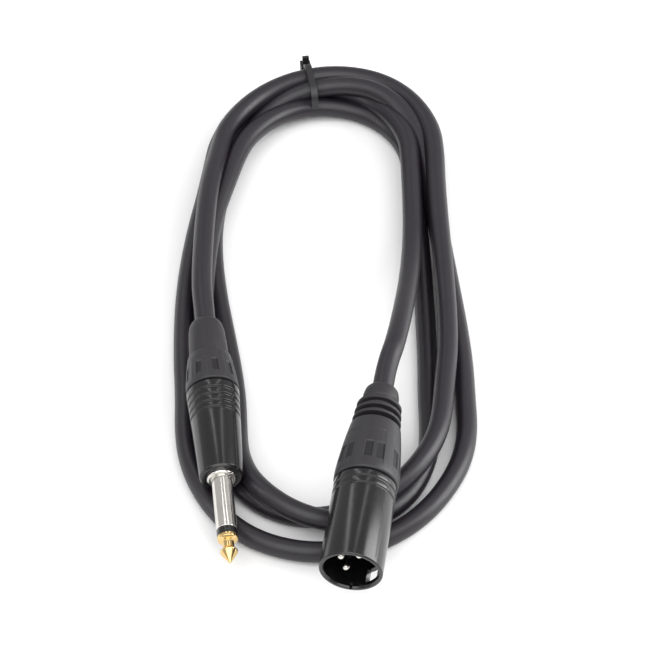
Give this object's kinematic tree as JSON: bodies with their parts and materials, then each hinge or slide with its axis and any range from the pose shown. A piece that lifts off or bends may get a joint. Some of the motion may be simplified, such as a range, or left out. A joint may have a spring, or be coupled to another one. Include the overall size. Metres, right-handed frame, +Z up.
{
  "type": "xlr cable coil",
  "caption": "Unbalanced audio lead wound in an elongated coil and held by a cable tie, with a male XLR plug at one end and a mono jack plug at the other.",
  "frame": {"origin": "under the middle of the whole lead, on the surface that the coil lies on", "axes": "+Z up from the surface, +Y along the coil from the plugs' end to the tied bend, +X to the side with the three-pin plug"},
  "size_m": [0.0956, 0.2338, 0.0333],
  "materials": {
    "black_metal": "semi-gloss",
    "nickel": "polished",
    "gold": "polished",
    "copper": "bare",
    "black_plastic": "matte",
    "grey_plastic": "matte",
    "black_rubber": "matte",
    "cable_jacket": "satin",
    "red_core": "gloss",
    "white_core": "gloss",
    "tie_plastic": "satin"
  },
  "bodies": {
    "lead": {"xlr_shell": "black_metal", "xlr_insert": "black_plastic", "xlr_pin_1": "nickel", "xlr_pin_2": "nickel", "xlr_pin_3": "nickel", "xlr_earth_tab": "nickel", "xlr_core_hot": "red_core", "xlr_core_cold": "white_core", "xlr_screen_tail": "copper", "jack_tip": "gold", "jack_tip_rod": "nickel", "jack_insulator_ring": "black_plastic", "jack_insulator_tube": "grey_plastic", "jack_sleeve": "nickel", "jack_collar": "nickel", "jack_washer": "grey_plastic", "jack_tip_terminal": "nickel", "jack_sleeve_terminal": "nickel", "jack_barrel": "black_metal", "jack_liner": "grey_plastic", "jack_core_hot": "red_core", "jack_core_cold": "white_core", "cable_coil": "cable_jacket", "cable_lead_xlr": "cable_jacket", "cable_lead_jack": "cable_jacket", "tie_strap": "tie_plastic", "tie_head": "tie_plastic", "tie_pawl": "tie_plastic"},
    "xlr_clamp_slide": {"xlr_clamp": "grey_plastic"},
    "xlr_cap": {"xlr_backshell": "black_plastic", "xlr_boot": "black_rubber"},
    "jack_clamp_slide": {"jack_clamp": "grey_plastic"},
    "jack_cap": {"jack_backshell": "black_plastic", "jack_boot": "black_rubber"}
  },
  "joints": [
    {"name": "xlr_cap_travel", "type": "slide", "parent": "lead", "child": "xlr_clamp_slide", "axis": [0.1477, 0.9864, 0.0724], "range_m": [0, 0.0031]},
    {"name": "xlr_cap_turn", "type": "hinge", "parent": "xlr_clamp_slide", "child": "xlr_cap", "pos_m": [0.01485, -0.07171, 0.02406], "axis": [0.1477, 0.9864, 0.0724], "range_deg": [0, 900]},
    {"name": "jack_cap_travel", "type": "slide", "parent": "lead", "child": "jack_clamp_slide", "axis": [-0.1015, 0.9918, 0.0772], "range_m": [0, 0.0031]},
    {"name": "jack_cap_turn", "type": "hinge", "parent": "jack_clamp_slide", "child": "jack_cap", "pos_m": [-0.03501, -0.02951, 0.01579], "axis": [-0.1015, 0.9918, 0.0772], "range_deg": [0, 900]}
  ],
  "couplings": [
    {"joint": "xlr_cap_turn", "follows": "xlr_cap_travel", "rad_per_m": 5026.5},
    {"joint": "jack_cap_turn", "follows": "jack_cap_travel", "rad_per_m": 5026.5}
  ]
}
